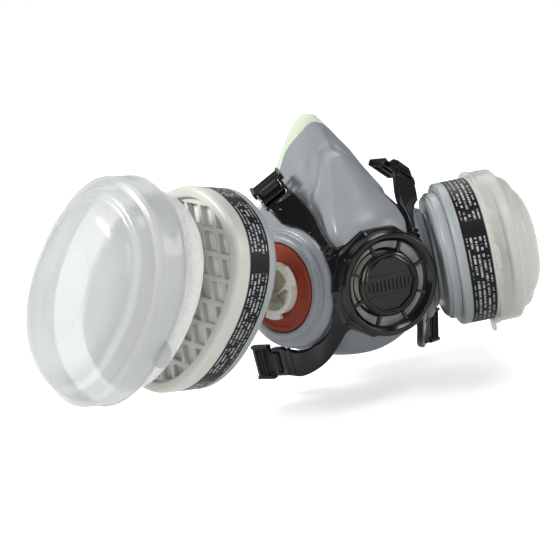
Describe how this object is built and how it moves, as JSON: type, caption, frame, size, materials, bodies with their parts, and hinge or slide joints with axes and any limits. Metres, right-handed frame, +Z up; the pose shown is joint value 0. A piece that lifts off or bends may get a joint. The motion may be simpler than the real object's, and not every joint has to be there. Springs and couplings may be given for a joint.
{
  "type": "half-face respirator",
  "caption": "Reusable half-face respirator with twist-on oval filter cartridges, clip-on pad retainers, central exhalation valve and four strap buckles.",
  "frame": {"origin": "middle of the face opening, on the plane of symmetry", "axes": "+Z up towards the nose, +Y towards the wearer, -Y the front, +X the wearer's left side (right of a viewer in front)"},
  "size_m": [0.2729, 0.131, 0.1305],
  "materials": {
    "soft_grey": "satin moulded elastomer, fine grain",
    "clear_silicone": "translucent pale silicone",
    "black_plastic": "glossy moulded black nylon, light scuffs",
    "valve_silicone": "soft silicone",
    "white_plastic": "matt off-white moulding",
    "red_gasket": "matt red-brown gasket rubber",
    "grey_plastic": "satin grey moulding",
    "black_label": "printed band, plain bars only",
    "cream_plastic": "satin cream moulding",
    "carbon": "granular activated carbon",
    "felt": "white needled felt",
    "milky_plastic": "translucent milky polypropylene"
  },
  "bodies": {
    "facepiece": {"facepiece_shell": "soft_grey", "face_seal_lip": "clear_silicone", "front_yoke": "black_plastic", "exhalation_valve_seat": "black_plastic", "exhalation_cover": "black_plastic", "left_inhalation_connector": "white_plastic", "right_inhalation_connector": "white_plastic", "left_port_gasket": "red_gasket", "right_port_gasket": "red_gasket"},
    "exhalation_flap": {"exhalation_valve": "valve_silicone"},
    "left_inhalation_flap": {"left_inhalation_valve": "valve_silicone"},
    "right_inhalation_flap": {"right_inhalation_valve": "valve_silicone"},
    "upper_left_buckle": {"upper_left_buckle": "black_plastic"},
    "upper_right_buckle": {"upper_right_buckle": "black_plastic"},
    "lower_left_buckle": {"lower_left_buckle": "black_plastic"},
    "lower_right_buckle": {"lower_right_buckle": "black_plastic"},
    "left_outlet": {"left_outlet_screen": "white_plastic"},
    "left_cartridge": {"left_cartridge_shell": "grey_plastic", "left_cartridge_back_cover": "grey_plastic", "left_label_band": "black_label", "left_face_grille": "cream_plastic", "left_carbon_bed": "carbon"},
    "left_retainer": {"left_filter_retainer": "milky_plastic"},
    "left_pad": {"left_filter_pad": "felt"},
    "right_cartridge": {"right_cartridge_shell": "grey_plastic", "right_cartridge_back_cover": "grey_plastic", "right_label_band": "black_label", "right_face_grille": "cream_plastic", "right_carbon_bed": "carbon", "right_outlet_screen": "white_plastic"},
    "right_retainer": {"right_filter_retainer": "milky_plastic"},
    "right_pad": {"right_filter_pad": "felt"}
  },
  "joints": [
    {"name": "exhalation_valve_lift", "type": "slide", "parent": "facepiece", "child": "exhalation_flap", "axis": [0, -1, 0], "range_m": [0, 0.0015]},
    {"name": "left_inhalation_valve_lift", "type": "slide", "parent": "facepiece", "child": "left_inhalation_flap", "axis": [0.9153, 0.3917, -0.0938], "range_m": [0, 0.0014]},
    {"name": "right_inhalation_valve_lift", "type": "slide", "parent": "facepiece", "child": "right_inhalation_flap", "axis": [-0.9153, 0.3917, -0.0938], "range_m": [0, 0.0014]},
    {"name": "upper_left_buckle_hinge", "type": "hinge", "parent": "facepiece", "child": "upper_left_buckle", "pos_m": [-0.03706, -0.02814, 0.04789], "axis": [-0.7823, 0.3143, -0.5378], "range_deg": [-15, 15]},
    {"name": "upper_right_buckle_hinge", "type": "hinge", "parent": "facepiece", "child": "upper_right_buckle", "pos_m": [0.03706, -0.02814, 0.04789], "axis": [0.7823, 0.3143, -0.5378], "range_deg": [-15, 15]},
    {"name": "lower_left_buckle_hinge", "type": "hinge", "parent": "facepiece", "child": "lower_left_buckle", "pos_m": [-0.04331, -0.02802, -0.03976], "axis": [0.1118, -0.0559, -0.9922], "range_deg": [-15, 15]},
    {"name": "lower_right_buckle_hinge", "type": "hinge", "parent": "facepiece", "child": "lower_right_buckle", "pos_m": [0.04331, -0.02802, -0.03976], "axis": [-0.1118, -0.0559, -0.9922], "range_deg": [-15, 15]},
    {"name": "left_cartridge_lift_off", "type": "hinge", "parent": "facepiece", "child": "left_outlet", "pos_m": [0.00901, -0.03978, 0.3073], "axis": [0.3865, -0.9197, -0.0694], "range_deg": [0, 7]},
    {"name": "left_cartridge_twist", "type": "hinge", "parent": "left_outlet", "child": "left_cartridge", "pos_m": [-0.07762, -0.05363, 0.0087], "axis": [0.8946, 0.3921, -0.2141], "range_deg": [0, 60]},
    {"name": "left_retainer_clip", "type": "slide", "parent": "left_cartridge", "child": "left_retainer", "axis": [0.8946, 0.3921, -0.2141], "range_m": [0, 0.037]},
    {"name": "left_pad_seat", "type": "slide", "parent": "left_cartridge", "child": "left_pad", "axis": [0.8946, 0.3921, -0.2141], "range_m": [0, 0.015]},
    {"name": "right_cartridge_twist", "type": "hinge", "parent": "facepiece", "child": "right_cartridge", "pos_m": [0.04362, -0.03873, 0.00056], "axis": [0.9153, -0.3917, 0.0938], "range_deg": [0, 60]},
    {"name": "right_retainer_clip", "type": "slide", "parent": "right_cartridge", "child": "right_retainer", "axis": [0.9153, -0.3917, 0.0938], "range_m": [0, 0.03]},
    {"name": "right_pad_seat", "type": "slide", "parent": "right_cartridge", "child": "right_pad", "axis": [0.9153, -0.3917, 0.0938], "range_m": [0, 0.012]}
  ],
  "couplings": [
    {"joint": "left_pad_seat", "follows": "left_retainer_clip", "ratio": 0.40541},
    {"joint": "right_pad_seat", "follows": "right_retainer_clip", "ratio": 0.4}
  ]
}
